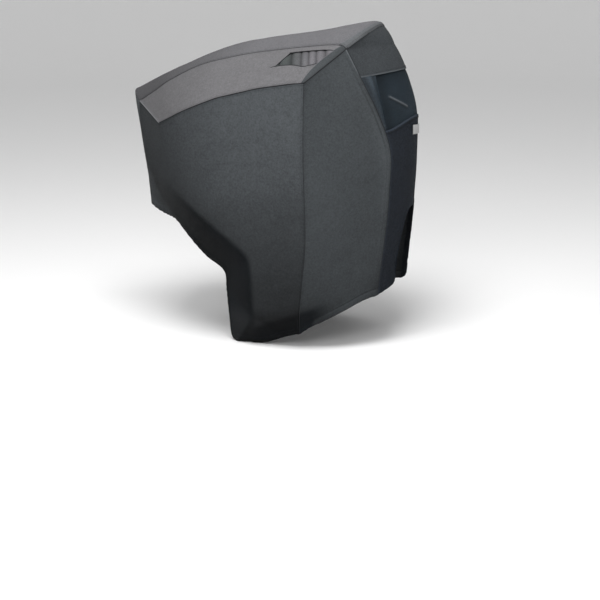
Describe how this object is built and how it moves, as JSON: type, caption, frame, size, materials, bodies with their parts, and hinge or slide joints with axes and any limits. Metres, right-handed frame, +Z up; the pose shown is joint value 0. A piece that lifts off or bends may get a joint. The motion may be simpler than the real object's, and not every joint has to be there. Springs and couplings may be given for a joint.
{
  "type": "outboard motor cover",
  "caption": "Fitted grey cloth cover for a large outboard motor, hollow and open below, with pleated shoulder vents and a rear vent under a flap.",
  "frame": {"origin": "the mount, on the centre line where the underside of the top panel bears on the motor's cowl", "axes": "+X aft, towards the rear vent; +Y to starboard; +Z up"},
  "size_m": [0.9304, 0.5954, 0.974],
  "materials": {
    "charcoal_cloth": "matte woven polyester",
    "light_grey_cloth": "matte woven polyester",
    "vent_mesh": "matte open mesh",
    "label_cloth": "satin woven tape"
  },
  "bodies": {
    "root": {"top_panel": "charcoal_cloth", "shoulder_port": "light_grey_cloth", "shoulder_starboard": "light_grey_cloth", "shoulder_vent_port": "vent_mesh", "shoulder_vent_starboard": "vent_mesh", "front_panel": "charcoal_cloth", "side_front_port": "charcoal_cloth", "side_front_starboard": "charcoal_cloth", "side_rear_port": "charcoal_cloth", "side_rear_starboard": "charcoal_cloth", "rear_upper_panel": "charcoal_cloth", "rear_gusset_port": "charcoal_cloth", "rear_gusset_starboard": "charcoal_cloth", "rear_vent_mesh": "vent_mesh", "rear_lower_panel": "charcoal_cloth", "label": "label_cloth"}
  },
  "joints": []
}
